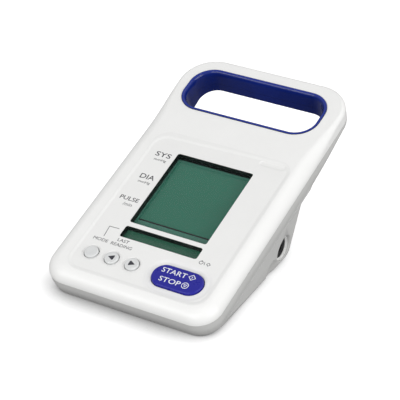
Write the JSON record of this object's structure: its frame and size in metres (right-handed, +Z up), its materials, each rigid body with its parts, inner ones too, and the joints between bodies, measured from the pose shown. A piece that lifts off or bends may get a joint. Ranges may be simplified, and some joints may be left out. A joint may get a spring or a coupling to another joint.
{
  "type": "professional blood pressure monitor",
  "caption": "Desk blood pressure monitor with a sloping display face, a carry handle, press keys, a side cuff socket, an air pump inside and a sliding battery cover.",
  "frame": {"origin": "middle of the footprint's box, on the desk plane under the rubber feet", "axes": "+X to the right of the person reading the display, +Y away from them towards the carry handle, +Z up"},
  "size_m": [0.123, 0.1998, 0.0838],
  "materials": {
    "white_case": "satin",
    "grey_case": "satin",
    "blue_ring": "satin gloss",
    "white_panel": "fine matt",
    "clear_window": "clear",
    "black_plastic": "fine matt",
    "lcd_green": "satin",
    "light_guide": "milky",
    "silicone_grey": "matt",
    "key_grey": "satin",
    "key_blue": "satin",
    "board_green": "lacquered",
    "metal_parts": "satin",
    "cream_plastic": "moulded",
    "steel": "zinc plated",
    "cell_green": "printed film",
    "sleeve_blue": "shrunk film",
    "wire_red": "satin",
    "wire_black": "satin",
    "wire_yellow": "satin",
    "valve_grey": "moulded",
    "clear_hose": "milky silicone",
    "brass": "turned",
    "rubber_black": "matt",
    "rubber_grey": "matt"
  },
  "bodies": {
    "monitor": {"front_case": "white_case", "rear_case": "grey_case", "handle_ring": "blue_ring", "handle_ring_rear": "blue_ring", "face_panel": "white_panel", "display_window": "clear_window", "lcd_frame": "black_plastic", "lcd_glass": "lcd_green", "lcd_backlight": "light_guide", "lcd_contact_strips": "silicone_grey", "key_mat": "silicone_grey", "main_board": "board_green", "board_chips": "black_plastic", "board_parts": "metal_parts", "board_connectors": "cream_plastic", "board_screws": "steel", "pressure_sensors": "black_plastic", "buzzer": "black_plastic", "case_screws": "steel", "battery_cells": "cell_green", "battery_sleeve": "sleeve_blue", "battery_lead": "wire_red", "pump_motor": "steel", "pump_head": "cream_plastic", "pump_cushion": "rubber_black", "pump_strap": "steel", "motor_lead": "wire_black", "release_valve": "valve_grey", "valve_lead": "wire_yellow", "air_manifold": "cream_plastic", "hose_pump": "clear_hose", "hose_jack": "clear_hose", "hose_valve": "clear_hose", "hose_sensor_front": "clear_hose", "hose_sensor_rear": "clear_hose", "cuff_jack": "black_plastic", "cuff_jack_nut": "brass", "dc_jack": "black_plastic", "dc_jack_pin": "steel", "stand_inserts": "brass", "rubber_feet": "rubber_grey"},
    "mode_button": {"mode_button": "key_grey"},
    "back_button": {"back_button": "key_grey"},
    "forward_button": {"forward_button": "key_grey"},
    "start_stop_button": {"start_stop_button": "key_blue"},
    "battery_cover": {"battery_cover": "grey_case"}
  },
  "joints": [
    {"name": "mode_button_press", "type": "slide", "parent": "monitor", "child": "mode_button", "axis": [0, 0.3206, -0.9472], "range_m": [0, 0.001], "stiffness_N_per_m": 1600, "springref_m": -0.0002},
    {"name": "back_button_press", "type": "slide", "parent": "monitor", "child": "back_button", "axis": [0, 0.3206, -0.9472], "range_m": [0, 0.001], "stiffness_N_per_m": 1600, "springref_m": -0.0002},
    {"name": "forward_button_press", "type": "slide", "parent": "monitor", "child": "forward_button", "axis": [0, 0.3206, -0.9472], "range_m": [0, 0.001], "stiffness_N_per_m": 1600, "springref_m": -0.0002},
    {"name": "start_stop_button_press", "type": "slide", "parent": "monitor", "child": "start_stop_button", "axis": [0, 0.3206, -0.9472], "range_m": [0, 0.001], "stiffness_N_per_m": 1600, "springref_m": -0.0002},
    {"name": "battery_cover_slide", "type": "slide", "parent": "monitor", "child": "battery_cover", "axis": [0, 1, 0], "range_m": [0, 0.066]}
  ]
}
